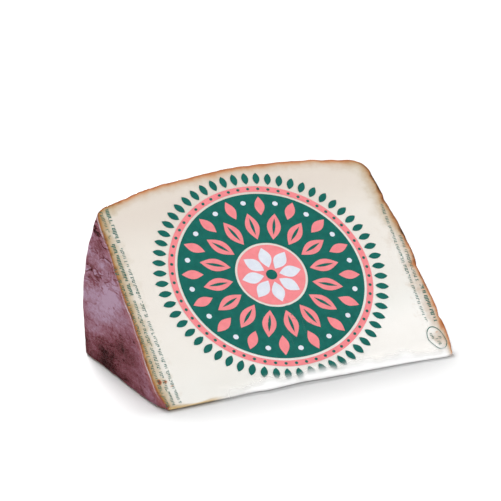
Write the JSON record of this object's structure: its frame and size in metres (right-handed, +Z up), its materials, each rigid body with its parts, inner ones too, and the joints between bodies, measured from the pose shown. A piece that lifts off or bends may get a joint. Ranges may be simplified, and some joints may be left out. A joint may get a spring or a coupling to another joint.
{
  "type": "mixed milk cheese wedge",
  "caption": "Wedge of a small firm mixed milk cheese, dark rind and ivory paste, in a tight clear printed wrap, lying on one cut face.",
  "frame": {"origin": "under the middle of the wedge, on the surface it lies on", "axes": "+X along the wheel's axis, from one flat rind face to the other; +Y from the tip edge towards the curved heel; +Z up"},
  "size_m": [0.111, 0.0914, 0.0629],
  "materials": {
    "wrapped_cheese": null
  },
  "bodies": {
    "root": {"cheese_wedge": "wrapped_cheese"}
  },
  "joints": []
}
